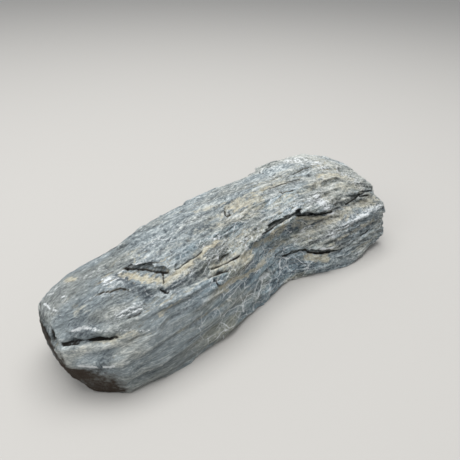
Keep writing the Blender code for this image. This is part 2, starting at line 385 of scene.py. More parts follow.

# %% [markdown]
# ## Cracks, folds, veins and patches where the picture has them
#
# The cracks and veins that give this stone its looks are drawn as lines of a few points of the picture.
# Drawing them in space by number would do the same, but nobody could check such numbers against what
# they see.
#
# Cracks go into the stone, and their dark is painted shade; the lines under the roofs of the pocket and the
# ledge are painted shadows of those overhangs. Folds stand out of it. Veins are thin lines of calcite, but
# the two along the corner's edge are painted highlights. The other tables are soft strokes of a wide brush:
# where the stone is scratched white, where clay lies, where damp has stained a broken face brown, which is
# painted nearly black as its shade too, and where it is a little lighter or darker than its surroundings,
# which is painted light and shade in some strokes and the rock's own tone in others.

# %% Lines of the picture, as pixels across and down
# Each row: half width in mm, then depth, height, strength or lightness, then the points
# The dark of these cracks is painted shade; pocket_roof and ledge_roof are painted shadows under overhangs
CRACKS_AND_SHADOW_LINES = {
    "mouth": (
        1.0, 0.8, [(62.5, 343.5), (72, 342.3), (83, 340.2), (92, 338.3), (100, 337), (110, 337), (117, 337.3)]
    ),
    "mouth_left": (1.1, 1.4, [(64, 344.6), (71, 344.6), (78, 343.8)]),
    "mouth_middle": (1.2, 1.5, [(91, 340), (100, 338.8), (112, 338.4)]),
    "pocket_roof": (1.3, 0.8, [(126, 268.6), (138, 269), (150, 270), (160, 271.5), (167, 272.3)]),
    "pocket_over": (0.8, 1.4, [(143, 264), (150, 262.6), (159, 261.6)]),
    "pocket_right": (0.8, 1.8, [(162.5, 270.5), (163, 277), (163.8, 282.7)]),
    "pocket_holes": (1.1, 2.6, [(161, 290), (165.8, 292), (168, 292.5)]),
    "thin_left": (0.8, 0.9, [(97, 295), (103, 292.6), (112, 291), (120, 288.3), (128.6, 290.3)]),
    "scratch_shade": (0.7, 0.5, [(127.6, 318), (134, 316.4), (141, 313)]),
    "over_strip": (0.8, 1.6, [(175, 269.6), (183, 263.5), (195.5, 255.8), (201.6, 250.7)]),
    "middle": (1.0, 2.6, [(212, 268.5), (218.5, 265.5), (232, 259.6), (241, 256.3)]),
    "middle_low": (1.0, 2.4, [(208, 277), (213, 275.5), (220, 271.6), (228, 270.6)]),
    "diagonal": (0.9, 2.0, [(215, 280), (219.5, 286.4)]),
    "brow_line": (0.9, 1.6, [(263, 234.3), (273, 227.6), (283, 221.2), (293, 215.8)]),
    "ledge_roof": (1.3, 0.8, [(297, 215), (306, 214.4), (316, 214), (325, 213), (332, 211.6)]),
    "ledge_right": (0.9, 1.4, [(345, 205), (357, 197), (367, 195)]),
    "right_low": (0.9, 1.8, [(356.8, 196.6), (367.6, 195.3)]),
    "right_high": (0.9, 1.8, [(359.3, 192.4), (372, 190.5)]),
    "waist": (0.8, 1.0, [(282, 256.4), (292, 253), (301, 249.6)]),
    "low_lip": (1.1, 0.8, [(302, 249.6), (309, 251), (318, 252), (330, 251.2), (340, 249)]),
    "low_lip_open": (1.7, 1.4, [(308, 251.5), (318, 252.8), (329, 252)]),
    "top_ledge": (0.65, 1.3, [(285, 177.5), (290, 176), (296, 173), (303.8, 168.5), (309, 167.4)]),
    "top_plate": (0.7, 1.0, [(258, 172), (266, 175), (272, 177), (279, 177.5), (285, 177.5)]),
    "top_fine": (0.7, 0.8, [(262, 190), (275, 186), (288, 181.5), (300, 179)]),
    "top_fine_low": (0.5, 0.5, [(238, 212), (252, 205), (268, 199)]),
    "top_small": (0.8, 1.8, [(279.8, 191), (283, 192.7), (286, 191.4), (293.6, 190)]),
    "hook": (0.9, 2.0, [(225, 208), (225, 214.3), (227.4, 215.4), (230.5, 213.5)]),
    "strata_low": (0.7, 0.8, [(339.5, 250.8), (350, 244), (359.3, 237.4), (367, 231), (375.3, 226)]),
    "strata_high": (0.5, 0.8, [(322, 247), (338, 240), (352, 231), (366, 222), (380, 214)]),
    "end_upper": (2.4, 2.0, [(42.5, 326), (46, 332), (49, 338)]),
    "end_lower": (1.8, 2.0, [(51.5, 331.5), (54, 337.5)]),
    "end_face": (2.2, 0.8, [(46, 340), (50, 346), (55, 353)]),
    "end_notch": (1.0, 1.5, [(40, 303), (40, 313)]),
}
FOLDS = {
    "pocket_lip": (3.0, -1.2, [(121, 277), (131, 283), (140, 289), (148, 295)]),
    "pocket_left": (4.0, 0.5, [(112, 279), (124, 285), (134, 292)]),
    "end_ledge": (3.4, 1.2, [(344, 204), (352, 199.5), (361, 196), (371, 192)]),
    "pocket_sill": (3.0, 1.4, [(145, 288), (152, 287), (159, 287.5)]),
    "mouth_lip": (3.4, 1.2, [(66, 339), (76, 339), (86, 335.6), (98, 333), (110, 332.6)]),
    "mouth_fold": (3.0, 1.4, [(73, 331), (86, 328), (98, 329.5), (115, 330)]),
    "left_fold": (3.4, 0.7, [(98, 289), (110, 286.5), (120, 284)]),
    "scratch_fold": (3.4, 0.5, [(114, 313), (126, 309.5), (138, 305)]),
    "strip_fold": (3.4, 1.5, [(168, 288), (182, 279), (196, 268.5), (210, 258.5), (222, 250)]),
    "low_lip_fold": (2.6, 1.2, [(308, 247.6), (318, 248.4), (328, 247.4), (337, 245.6)]),
    "top_fold": (3.0, 1.4, [(262, 170), (272, 173), (282, 173.5), (292, 170), (302, 165)]),
    "brow_fill": (5.0, 1.0, [(268, 230), (276, 225.5), (284, 220.5), (291, 217)]),
}
VEINS = {
    "side_a": (1.5, 0.85, [(185, 297.6), (193, 301), (201.4, 303.3)]),
    "side_b": (1.5, 0.85, [(213, 310), (222.5, 314.8), (229, 321.5)]),
    "side_c": (1.5, 0.85, [(196.7, 325.4), (201, 330), (205.3, 335)]),
    "side_bright": (1.8, 0.9, [(236.8, 316.7), (241, 318.5), (245.5, 321.5)]),
    "side_d": (1.5, 0.85, [(222, 300), (230, 307), (233, 311), (238, 317)]),
    "side_e": (1.5, 0.8, [(243, 330), (246, 324), (252, 318), (258, 308)]),
    "side_f": (1.5, 0.8, [(176, 306), (184, 303), (192, 300)]),
    "side_g": (1.4, 0.75, [(205, 292), (213, 296), (222, 296), (230, 291)]),
    "waist_upright": (1.5, 0.8, [(281.8, 258.7), (282.3, 268), (281.8, 276.5)]),
    "waist_curve": (2.4, 0.85, [(261, 238), (266, 246), (268.6, 253), (266, 258.7)]),
    "waist_blot": (2.2, 0.8, [(252, 280), (253.5, 287), (258, 293), (262, 291)]),
    "waist_loop": (1.6, 0.75, [(262, 272), (270, 268), (275, 262), (274, 254)]),
    "waist_low": (1.5, 0.75, [(262, 300), (268, 293), (277, 288), (284, 280)]),
    "top_light": (2.4, 0.9, [(150, 236), (156, 238.5), (166, 239.5), (175.6, 238.8)]),
    "top_cross": (2.0, 0.7, [(202.4, 242), (203, 250)]),
    "top_bend": (2.4, 0.8, [(196, 245), (203, 243), (207, 248)]),
    "lip_white": (3.6, 1.0, [(310, 247.5), (318, 248.6), (326, 248), (332, 247)]),
    "mouth_ledge": (3.6, 0.95, [(73.4, 330.5), (80, 328.5), (86, 327), (96.3, 329)]),
    "mouth_ridge": (3.0, 0.8, [(96.3, 329), (115, 330), (135, 331), (150, 330)]),
    # The two corner lines are painted highlights along the corner's edge, in the calcite colour
    "corner_glint_a": (3.6, 1.15, [(80, 365.6), (88, 366), (96, 366.6)]),
    "corner_glint_b": (3.2, 1.1, [(104, 367), (110, 366.8), (114, 365.6)]),
    "scratch_a": (3.0, 0.9, [(116, 316), (124, 311), (132, 308)]),
    "scratch_b": (2.4, 0.9, [(118, 318), (130, 314), (141, 309)]),
    "scratch_c": (2.0, 0.8, [(122, 312), (134, 306), (140, 304)]),
    "bright_spot": (5.0, 1.0, [(105.5, 280.8), (109.5, 279.4)]),
    "sparkle_a": (2.6, 1.0, [(62, 297), (64, 296.4)]),
    "sparkle_b": (2.6, 1.0, [(45, 304), (48, 306), (50, 309)]),
    "sparkle_c": (2.6, 0.95, [(54, 310), (57, 311)]),
    "sparkle_d": (2.4, 0.9, [(50, 295), (54, 293.6)]),
    "sparkle_e": (2.4, 0.85, [(67, 304), (70, 303)]),
    "spot_streak_a": (3.0, 0.9, [(103, 286), (111, 283), (119, 277)]),
    "spot_streak_b": (2.6, 0.8, [(108, 288), (118, 283)]),
    "left_a": (2.0, 0.75, [(80, 276.5), (86, 274.6), (94, 273)]),
    "left_b": (2.2, 0.75, [(97, 270.4), (104, 268)]),
    "left_c": (2.2, 0.8, [(84, 303), (93, 297), (104, 294), (116, 293)]),
    "pocket_rim": (2.6, 0.9, [(118, 273), (124, 270), (132, 266), (142, 262.5)]),
    "sill_rim": (2.2, 0.8, [(144, 288), (147, 294), (153, 296), (160, 293)]),
    "crest_a": (2.2, 0.85, [(257, 171), (266, 167), (275, 164.5), (286, 161.5)]),
    "crest_b": (2.2, 0.8, [(268, 173), (276, 171), (284, 173)]),
    "crest_c": (2.0, 0.8, [(286, 161.5), (300, 157), (312, 157.5), (324, 160)]),
    "nose_a": (3.0, 0.9, [(319, 196), (324, 202), (329, 208), (332, 211)]),
    "nose_b": (2.6, 0.8, [(300, 205), (308, 202), (318, 199)]),
    "shoulder_a": (2.6, 0.9, [(330, 238), (342, 230), (352, 223), (362, 216)]),
    "shoulder_b": (2.2, 0.8, [(300, 246), (312, 243), (322, 239)]),
}
SCRATCHED = {
    "bright_spot": (4.2, 1.0, [(106, 281.5), (109, 279.5)]),
    "beside_spot": (5.0, 0.6, [(112, 289), (117, 283), (121, 276)]),
    "cap_high": (4.0, 0.5, [(62, 296), (64, 298)]),
    "cap_left": (5.0, 0.55, [(45, 306), (50, 309), (56, 312)]),
    "cap_edge": (4.0, 0.6, [(44, 298), (50, 293), (58, 288), (66, 285)]),
    "left_rim": (4.0, 0.55, [(80, 279), (90, 275), (102, 270)]),
    "scratches": (5.0, 0.8, [(113, 317), (124, 312), (138, 306)]),
    "mouth_ledge": (3.2, 0.5, [(73, 331), (84, 327.6), (98, 328.5)]),
    "under_ledge": (3.6, 0.5, [(105, 327), (116, 325), (128, 322)]),
    "beside_strip_low": (6.5, 0.6, [(165, 288), (176, 280), (188, 271.5)]),
    "beside_strip": (5.0, 0.4, [(188, 271.5), (200, 262), (212, 253), (226, 244)]),
    "band": (4.0, 0.75, [(234, 276), (244, 269), (254, 262)]),
    "brow": (5.0, 0.6, [(240, 246), (248, 240), (256, 236)]),
    "crest": (4.0, 0.5, [(262, 170), (272, 168), (284, 168)]),
    "crest_right": (5.0, 0.7, [(290, 161), (302, 160), (314, 163), (326, 169)]),
    "nose": (6.0, 0.95, [(318, 198), (326, 206), (331, 211)]),
    "nose_left": (6.0, 0.65, [(284, 214), (296, 207), (308, 202), (320, 196)]),
    "nose_low": (5.0, 0.6, [(262, 226), (272, 219), (284, 213)]),
    "top_band": (6.0, 0.6, [(230, 216), (246, 213), (262, 208), (276, 202)]),
    "far_rim": (5.0, 0.7, [(340, 172), (352, 180), (362, 187)]),
    "shoulder": (3.6, 0.7, [(322, 241), (334, 234), (346, 226), (358, 219)]),
    "shoulder_far": (4.6, 0.7, [(360, 217), (370, 211), (380, 206)]),
    "side": (9.0, 0.35, [(185, 305), (205, 300), (225, 292), (240, 284)]),
    "side_low": (8.0, 0.3, [(215, 315), (232, 305), (248, 296)]),
    "front": (9.0, 0.35, [(165, 322), (180, 325), (200, 318)]),
    "left_top": (7.0, 0.5, [(150, 245), (165, 236), (182, 226), (200, 216)]),
    "left_top_low": (6.0, 0.4, [(140, 262), (156, 256), (172, 248)]),
}
CLAY = {
    "pocket_floor": (3.6, 1.0, [(129, 275.5), (137, 277), (146, 279.5), (157, 281)]),
    "pocket_bright": (3.0, 1.0, [(150, 279.5), (157, 280)]),
    "strip": (
        2.2,
        1.0,
        [(164, 282), (174, 274.6), (184, 268), (193, 259.4), (200.6, 253.6), (210, 246.6), (219, 241)],
    ),
    "strip_wide": (4.2, 0.6, [(166, 283), (176, 275), (190, 262), (200, 255)]),
    "band_upper": (4.0, 0.8, [(217, 267), (226, 264), (240, 258.5), (250, 254)]),
    "band_wide": (6.0, 0.5, [(216, 272), (232, 266), (248, 258)]),
    "band_lower": (2.2, 0.9, [(221, 287), (231, 280.5), (246.5, 275), (258, 267), (264, 262)]),
    "spot_low": (2.4, 0.9, [(224, 290), (227, 290)]),
    "left_edge": (2.6, 0.9, [(66, 281), (70, 279.6), (73, 280)]),
    "slab_a": (2.0, 0.65, [(330, 245), (346, 236), (360, 228), (374, 221)]),
    "slab_b": (2.0, 0.55, [(352, 252), (364, 243), (376, 236)]),
    "waist_tan": (2.0, 0.6, [(262, 262), (270, 254), (276, 246), (284, 242)]),
    "side_tan_a": (2.0, 0.55, [(200, 318), (216, 308), (230, 300)]),
    "side_tan_b": (1.8, 0.5, [(176, 332), (190, 324), (206, 314)]),
    "pocket_left": (2.6, 0.8, [(121, 273), (125, 276)]),
    "under_mouth": (2.4, 0.7, [(96, 341.5), (106, 340.4), (115, 340)]),
    "mouth_right": (2.4, 0.6, [(114, 338.5), (126, 335), (137, 333)]),
    "flecks": (4.0, 0.45, [(76, 310), (86, 309)]),
    "shade_low": (2.0, 0.7, [(160, 314), (170, 306), (180, 300)]),
    "shade_far": (2.0, 0.55, [(186, 292), (196, 284), (206, 279)]),
    "slope_low": (3.0, 0.35, [(72, 352), (84, 350), (98, 346)]),
    "top_middle": (8.0, 0.75, [(232, 206), (243, 203), (256, 198)]),
    "top_middle_low": (5.0, 0.6, [(240, 212), (252, 208), (262, 203)]),
    "top_streak_a": (3.0, 0.6, [(196, 212), (212, 207), (226, 203)]),
    "top_streak_b": (2.6, 0.65, [(262, 190), (275, 184), (290, 181)]),
    "top_streak_c": (3.4, 0.6, [(280, 200), (300, 190), (320, 183), (336, 178)]),
    "top_streak_d": (3.0, 0.5, [(268, 208), (290, 197), (310, 189)]),
    "top_far": (4.0, 0.7, [(318, 176), (330, 174), (342, 176), (352, 180)]),
    "top_far_low": (5.0, 0.6, [(340, 186), (350, 186), (362, 190)]),
    "recess_left": (3.0, 0.8, [(256, 246), (264, 241), (274, 235), (284, 228)]),
    "recess_floor": (6.0, 0.6, [(296, 224), (312, 220), (330, 220), (342, 216)]),
    "recess_low": (5.0, 0.45, [(296, 236), (310, 232), (326, 228)]),
    "recess_right": (7.0, 0.65, [(342, 213), (356, 206), (372, 200)]),
    "brown_under": (2.6, 1.0, [(272, 232), (284, 225), (296, 218), (312, 217.5), (328, 217)]),
    "low_recess": (4.6, 0.9, [(307, 256.5), (316, 257.5), (326, 258)]),
    "low_edge": (3.0, 0.6, [(352, 233), (362, 227), (374, 220)]),
    "left_top": (4.0, 0.4, [(158, 252), (172, 246), (188, 240)]),
    "top_brown_a": (3.0, 0.5, [(196, 232), (214, 226), (232, 221), (262, 214)]),
    "top_brown_b": (2.6, 0.5, [(238, 238), (252, 228), (266, 221), (280, 213)]),
    "top_brown_c": (2.6, 0.5, [(206, 222), (224, 214), (244, 209)]),
}
# A brown stain on the broken faces, painted nearly black as their shade too
STAIN_AND_SHADE_PATCHES = {
    "undercut": (17.0, 0.95, [(74, 374), (86, 381), (100, 387)]),
    "undercut_left": (8.0, 1.0, [(68, 370), (74, 378), (84, 386)]),
    "undercut_low": (6.0, 1.0, [(84, 388), (98, 392), (116, 392)]),
    "end_face": (8.0, 0.75, [(42, 326), (48, 340), (55, 353)]),
}
# Painted light on lit slopes, painted shade under lips and ledges, in the recess and on faces turned away,
# and the rock's own lighter and darker tone, as in the strata, the blue patches and the hatch lines
PAINTED_LIGHT_AND_TONE = {
    "slope": (9.0, 0.9, [(64, 354), (80, 357), (98, 350)]),
    "slope_low": (5.0, 1.2, [(68, 362), (80, 363), (90, 362)]),
    "slope_right": (6.0, 0.4, [(112, 346), (126, 342), (140, 338)]),
    "dark_patch": (4.0, -2.0, [(100, 366), (104, 361), (108, 356)]),
    "mouth_shade": (3.0, -0.7, [(68, 339), (84, 336.5), (100, 333.5), (120, 333), (140, 331)]),
    "end_face": (6.0, -1.0, [(41, 318), (44, 332), (52, 345)]),
    "blue_patch": (9.0, -0.5, [(236, 290), (248, 284), (262, 276)]),
    "side_dark": (9.0, -0.6, [(276, 290), (280, 270), (283, 252)]),
    "side_dark_low": (7.0, -0.5, [(244, 308), (258, 298), (272, 286)]),
    "band_dark": (3.0, -0.9, [(220, 279), (232, 273), (246, 267), (256, 263)]),
    "low_slab_dark": (3.5, -0.8, [(340, 247), (354, 237), (368, 227), (380, 217)]),
    "low_slab_light": (5.0, 0.3, [(340, 258), (352, 250), (366, 240), (378, 230)]),
    "recess": (9.0, -0.6, [(298, 232), (316, 226), (336, 220)]),
    "recess_blue": (4.0, -0.6, [(320, 224), (326, 220)]),
    "recess_edge": (3.0, -0.6, [(330, 218), (345, 211), (352, 209)]),
    "under_ledge": (2.4, -0.8, [(297, 217.5), (312, 217), (330, 215)]),
    "top_dark_a": (2.6, -0.7, [(286, 178.5), (298, 174), (311, 169)]),
    "top_dark_b": (3.0, -0.6, [(256, 176), (266, 171), (274, 171)]),
    "top_dark_c": (4.0, -0.4, [(232, 196), (244, 190), (256, 187)]),
    "top_dark_d": (4.0, -0.4, [(250, 214), (266, 210), (280, 205)]),
    "crest_light": (4.0, 0.6, [(300, 158), (314, 159), (330, 165)]),
    "middle_dark": (5.0, -0.4, [(180, 268), (196, 256), (212, 246)]),
    "left_top_light": (12.0, 0.5, [(118, 256), (136, 246), (156, 234), (176, 222)]),
    "left_low_dark": (6.0, -0.3, [(60, 318), (72, 322), (86, 318)]),
    "lip_slope": (3.4, -2.0, [(121, 277.5), (131, 284), (140, 290.5), (148, 296)]),
    "waist_dark": (6.0, -0.2, [(300, 262), (320, 266), (338, 262)]),
    "strata_a": (1.8, -1.3, [(306, 246), (322, 237), (338, 227), (352, 217), (364, 209)]),
    "strata_b": (1.6, 1.0, [(312, 249), (328, 240), (344, 230), (358, 220), (372, 211)]),
    "strata_c": (1.8, -1.3, [(336, 242), (350, 233), (364, 224), (378, 216)]),
    "strata_d": (1.5, 1.0, [(346, 247), (358, 238), (370, 229), (380, 223)]),
    "strata_e": (1.8, -1.2, [(354, 214), (366, 207), (378, 202)]),
    "recess_right": (9.0, -1.3, [(342, 213), (356, 207), (374, 201)]),
    "strip": (6.0, -0.6, [(176, 282), (192, 270), (208, 258), (222, 248)]),
    "top_blue_a": (3.0, -0.8, [(226, 226), (244, 221), (262, 213)]),
    "top_blue_b": (3.0, -0.8, [(262, 194), (280, 188), (298, 182), (314, 176)]),
    "top_blue_c": (3.0, -0.8, [(204, 214), (220, 206), (234, 199)]),
    "top_blue_d": (2.6, -0.8, [(180, 232), (200, 224), (216, 218)]),
    "top_blue_e": (2.6, -0.8, [(296, 198), (312, 193), (326, 190)]),
    "top_pale_a": (2.6, 0.7, [(214, 222), (234, 214), (250, 211)]),
    "top_pale_b": (2.6, 0.7, [(190, 218), (206, 208), (222, 200)]),
    "mouth_fold": (5.0, -0.5, [(78, 333), (96, 332), (114, 334)]),
    "front_left": (12.0, 0.4, [(124, 360), (146, 352), (166, 344)]),
    "slab": (12.0, 0.25, [(336, 250), (352, 240), (370, 228)]),
    "side_hatch_a": (1.6, -1.0, [(172, 318), (186, 310), (200, 303)]),
    "side_hatch_b": (1.4, -1.0, [(196, 326), (212, 316), (226, 308)]),
    "side_hatch_c": (1.4, -1.0, [(222, 296), (238, 288), (250, 280)]),
    "side_hatch_d": (1.4, 0.8, [(206, 300), (222, 291), (240, 282)]),
    "side_hatch_e": (1.4, 0.8, [(160, 330), (176, 322), (192, 314)]),
    "side_hatch_f": (1.4, 0.8, [(232, 312), (244, 303), (256, 293)]),
    "brow_under": (3.0, -1.0, [(266, 232), (276, 226.5), (286, 220.5), (294, 217)]),
    "end_top": (6.0, -0.6, [(344, 208), (356, 201), (370, 195)]),
    "strip_low": (5.0, -0.5, [(170, 288), (186, 276), (204, 263)]),
}
drawn = (CRACKS_AND_SHADOW_LINES, FOLDS, VEINS, SCRATCHED, CLAY, STAIN_AND_SHADE_PATCHES, PAINTED_LIGHT_AND_TONE)
print("lines drawn by hand:", sum(len(table) for table in drawn))

# %% [markdown]
# ## From the picture to the skin
#
# A ray from the camera goes out through every second pixel of a drawn line, and short stretches join the
# points where the rays meet the skin. A stretch that is too long has jumped over a ledge and is left out.
# After that a line lies on the stone from any side, and the picture isn't needed any more.

# %% Lay the lines on the skin
RAY_STEP = 2.0
LONGEST_GAP = 14.0
FAR = 1e3
SHORTEST = 1e-6

tree = BVHTree.FromObject(stone, bpy.context.evaluated_depsgraph_get())
eye = Vector(CAMERA_PLACE)
camera_axes = camera.rotation_euler.to_matrix()
half_side = PICTURE_SIDE / 2


def on_stone(across, down):
    """The point of the skin behind a pixel of the picture, or None."""
    slope = Vector(((across - half_side) / PICTURE_SIDE, (half_side - down) / PICTURE_SIDE, -1))
    hit = tree.ray_cast(eye, (camera_axes @ slope).normalized())[0]
    return hit / MM if hit else None


def laid(pixels):
    """The stretches of a drawn line on the skin, as pairs of points that lie close together."""
    hits = []
    for (x, y), (next_x, next_y) in zip(pixels, pixels[1:]):
        steps = max(1, round(math.hypot(next_x - x, next_y - y) / RAY_STEP))
        hits += [on_stone(x + (next_x - x) * n / steps, y + (next_y - y) * n / steps) for n in range(steps)]
    hits.append(on_stone(*pixels[-1]))
    pairs = [(one, other) for one, other in zip(hits, hits[1:]) if one and other]
    return [pair for pair in pairs if (pair[0] - pair[1]).length < LONGEST_GAP]


def distance_to(stretches, reach):
    """How far every point is from the nearest of the stretches, and a far value past the reach."""
    nearest = np.full(count, FAR)
    for one, other in stretches:
        one, other = np.array(one), np.array(other)
        along = other - one
        squared = max(SHORTEST, float(along @ along))
        box_reach = reach + math.sqrt(squared) / 2
        close = np.flatnonzero(np.abs(points - (one + other) / 2).max(axis=1) < box_reach)
        offset = points[close] - one
        share = np.clip(offset @ along / squared, 0, 1)
        distance = np.linalg.norm(offset - share[:, None] * along, axis=1)
        nearest[close] = np.minimum(nearest[close], distance)
    return nearest


print("the middle of the picture lies at", on_stone(half_side, half_side))

# %% Draw the cracks, folds, veins and patches
# A crack's groove and its painted shade are full in its middle and fade out past its half width, and a
# narrow crack is painted less dark
CRACK_FILL, CRACK_RAGGEDNESS, CRACK_REACH = 1.25, 0.6, 4
FULL_DARK_WIDTH = 0.8
BRUSH_REACH = 3
WELL_COVERED = 0.3

ragged = noise_over(grain, (6, 2.5, 2.5), own_place=61.0)
crack_shade = np.zeros(count)
groove = np.zeros(count)
for half_width, depth, pixels in CRACKS_AND_SHADOW_LINES.values():
    reach = half_width * (CRACK_FILL + CRACK_RAGGEDNESS * ragged)
    share = np.clip(CRACK_FILL - distance_to(laid(pixels), CRACK_REACH * half_width) / reach, 0, 1)
    crack_shade = np.maximum(crack_shade, share * min(1, half_width / FULL_DARK_WIDTH))
    groove = np.maximum(groove, depth * share)


def brushed(half_width, pixels, softness, rim, heart):
    """A stroke of a wide brush: 1 at its heart and 0 past its rim, both as shares of its half width."""
    distance = distance_to(laid(pixels), BRUSH_REACH * half_width) / half_width
    return fade(distance + softness * ragged, rim, heart)


def painted(table, softness):
    """How strongly the drawn patches of a table cover every point."""
    cover = np.zeros(count)
    for half_width, strength, pixels in table.values():
        cover = np.maximum(cover, strength * brushed(half_width, pixels, softness, rim=1.5, heart=0.4))
    return cover


fold = np.zeros(count)
for half_width, height, pixels in FOLDS.values():
    fold += height * brushed(half_width, pixels, softness=0.35, rim=1.4, heart=0.3)
# The strokes' painted light and shade, mixed with the rock's own tone
painted_light_and_tone = np.zeros(count)
for half_width, amount, pixels in PAINTED_LIGHT_AND_TONE.values():
    painted_light_and_tone += amount * brushed(half_width, pixels, softness=0.8, rim=1.7, heart=0.3)
vein = np.zeros(count)
for reach, strength, pixels in VEINS.values():
    vein = np.maximum(vein, strength * np.clip(1 - distance_to(laid(pixels), reach) / reach, 0, 1))
clay = painted(CLAY, softness=0.9)
scratched = painted(SCRATCHED, softness=0.7)
# The brown stain of the broken faces, which carries their painted shade as well
stain_and_shade = painted(STAIN_AND_SHADE_PATCHES, softness=0.5) * break_face
for name, mask in {"cracks": crack_shade, "veins": vein, "clay": clay, "stain_and_shade": stain_and_shade}.items():
    print("points in", name + ":", int((mask > WELL_COVERED).sum()))

# %% Move the skin
relief += fold - groove
points += relief[:, None] * normals
points[:, 2] = np.maximum(points[:, 2], 0.0)
stone.data.vertices.foreach_set("co", (points * MM).ravel())
stone.data.update()
new_normals = read(stone.data.vertex_normals, "vector", 3)
print("moved by", round(float(relief.min()), 2), "to", round(float(relief.max()), 2), "mm")

# %% [markdown]
# ## Edges and hollows
#
# Worn edges of the rock are pale, because they are scratched, and dirt stays in its hollows. The grey is also
# painted darker in the hollows, as their shade, and lighter on broad ridges, as painted light. How far a
# point stands out from its surroundings says which of the two it is. It is found by blurring the shape and
# comparing it with the points.

# %% Find the edges and the hollows
FINE_BLURS, BROAD_BLURS = 3, 24
# How far a point stands out, in mm, to count as a full edge or a full ridge
FULL_EDGE, FULL_RIDGE = 0.35, 1.6


def standing_out(steps):
    """How far every point stands out from the shape after so many blurs, along its normal."""
    smooth = np.column_stack([blurred(points[:, axis], steps) for axis in range(3)])
    return ((points - smooth) * new_normals).sum(axis=1)


# edge marks worn edges and dirty hollows, and the grey is painted darker in the hollows as shade; broad only
# paints broad ridges lighter and broad hollows darker, as light and shade
edge = np.clip(standing_out(FINE_BLURS) / FULL_EDGE, -1, 1)
broad = np.clip(standing_out(BROAD_BLURS) / FULL_RIDGE, -1, 1)
print("edges:", round(float(edge.std()), 3), round(float(broad.std()), 3))

# %% Keep the masks as attributes of the mesh
DARKEST, LIGHTEST = -1.4, 1


def keep(name, values):
    """An attribute of the points: a number each, or three."""
    kind, slot = ("FLOAT", "value") if values.ndim == 1 else ("FLOAT_VECTOR", "vector")
    attribute = stone.data.attributes.new(name, kind, "POINT")
    attribute.data.foreach_set(slot, values.astype(np.float32).ravel())


keep("grain", grain * MM)
masks = dict(
    crack_shade=crack_shade, vein=vein, clay=clay, scratched=scratched, painted_light_and_tone=np.clip(painted_light_and_tone, DARKEST, LIGHTEST),
    edge=edge, broad=broad, smooth_face=smooth_face, upward=facing_up, cap=cap, painted_top_light_and_flecks=painted_top_light_and_flecks,
    stain_and_shade=stain_and_shade, web=web_share,
)
for name, values in masks.items():
    keep(name, values)
print("attributes:", len(stone.data.attributes))

# %% [markdown]
# ## The material
#
# The finish is built from patterns of the grain, and the masks of the mesh say where each of them lies. It
# could be wired in the node editor, but a small class lets the sums be written as plain arithmetic.

# %% A class for the arithmetic of a material
class Value:
    """An output of a node. Arithmetic on it adds Math nodes."""

    def __init__(self, tree, socket=None):
        self.tree = tree
        self.socket = socket

    def node(self, kind, inputs, output=0, **settings):
        """Another node of this material, with its settings, then the values or links of its inputs."""
        made = self.tree.nodes.new("ShaderNode" + kind)
        for name, value in settings.items():
            setattr(made, name, value)
        for name, value in inputs.items():
            if isinstance(value, Value):
                self.tree.links.new(value.socket, made.inputs[name])
            else:
                made.inputs[name].default_value = value
        return Value(self.tree, made.outputs[output])

    def math(self, operation, *values):
        """A Math node. It gives one number, so it isn't for colours or places."""
        return self.node("Math", dict(enumerate((self, *values))), operation=operation)

    def __add__(self, other):
        return self.math("ADD", other)

    __radd__ = __add__

    def __sub__(self, other):
        return self.math("SUBTRACT", other)

    def __rsub__(self, other):
        return self * -1 + other

    def __mul__(self, other):
        return self.math("MULTIPLY", other)

    __rmul__ = __mul__

    def fade(self, start, end):
        """0 at start and 1 at end, with a smooth step between them."""
        inputs = {"Value": self, "From Min": start, "From Max": end}
        return self.node("MapRange", inputs, interpolation_type="SMOOTHSTEP")

    def limited(self):
        """The value, kept from 0 to 1."""
        return self.node("Clamp", {"Value": self})


# %% Helpers of the finish
rock = bpy.data.materials.new("slaty_rock")
rock.use_nodes = True
start = Value(rock.node_tree)


def attribute(name, output="Fac"):
    return start.node("Attribute", {}, output=output, attribute_name=name)


def stretched(places, scale):
    """The places, times a scale for each axis."""
    return start.node("VectorMath", {0: places, 1: scale}, operation="MULTIPLY")


def shifted(places, amount):
    """The places, moved by the same amount along each axis."""
    amount = amount if isinstance(amount, Value) else (amount, amount, amount)
    return start.node("VectorMath", {0: places, 1: amount}, operation="ADD")


def pattern(places, scale, detail=4, roughness=0.55, distortion=0.0):
    """Noise whose scale is given for each axis."""
    inputs = {"Vector": stretched(places, scale), "Scale": 1.0, "Detail": detail}
    inputs |= {"Roughness": roughness, "Distortion": distortion}
    return start.node("TexNoise", inputs)


def cells(places, output=0, feature="F1"):
    """Ragged cells around the places: their colours with output 1, or the distance from their borders."""
    inputs = {"Vector": places, "Scale": 1.0, "Randomness": 1.0}
    return start.node("TexVoronoi", inputs, output=output, feature=feature)


def mixed(share, low, high, blend="MIX"):
    """A colour between low and high, or the two multiplied."""
    return start.node("Mix", {0: share, 6: low, 7: high}, output=2, data_type="RGBA", blend_type=blend)


def summed(base, *terms):
    """The base plus every value times its weight."""
    for value, weight in terms:
        base = base + value * weight
    return base


print("finish started:", rock.name)

# %% [markdown]
# ## Patterns of the grain
#
# Every pattern is a noise of the places in the grain. Its scale is smallest along the grain, so its lumps are
# drawn out into streaks, from broad ones to the hairlines of the smooth face. The plates are the small flat
# scales of the split rock, each with a grey of its own and a ragged border. An image of a rock could give all
# this, but it would stretch at the sides and repeat.

# %% Make the patterns
MIDDLE = 0.5

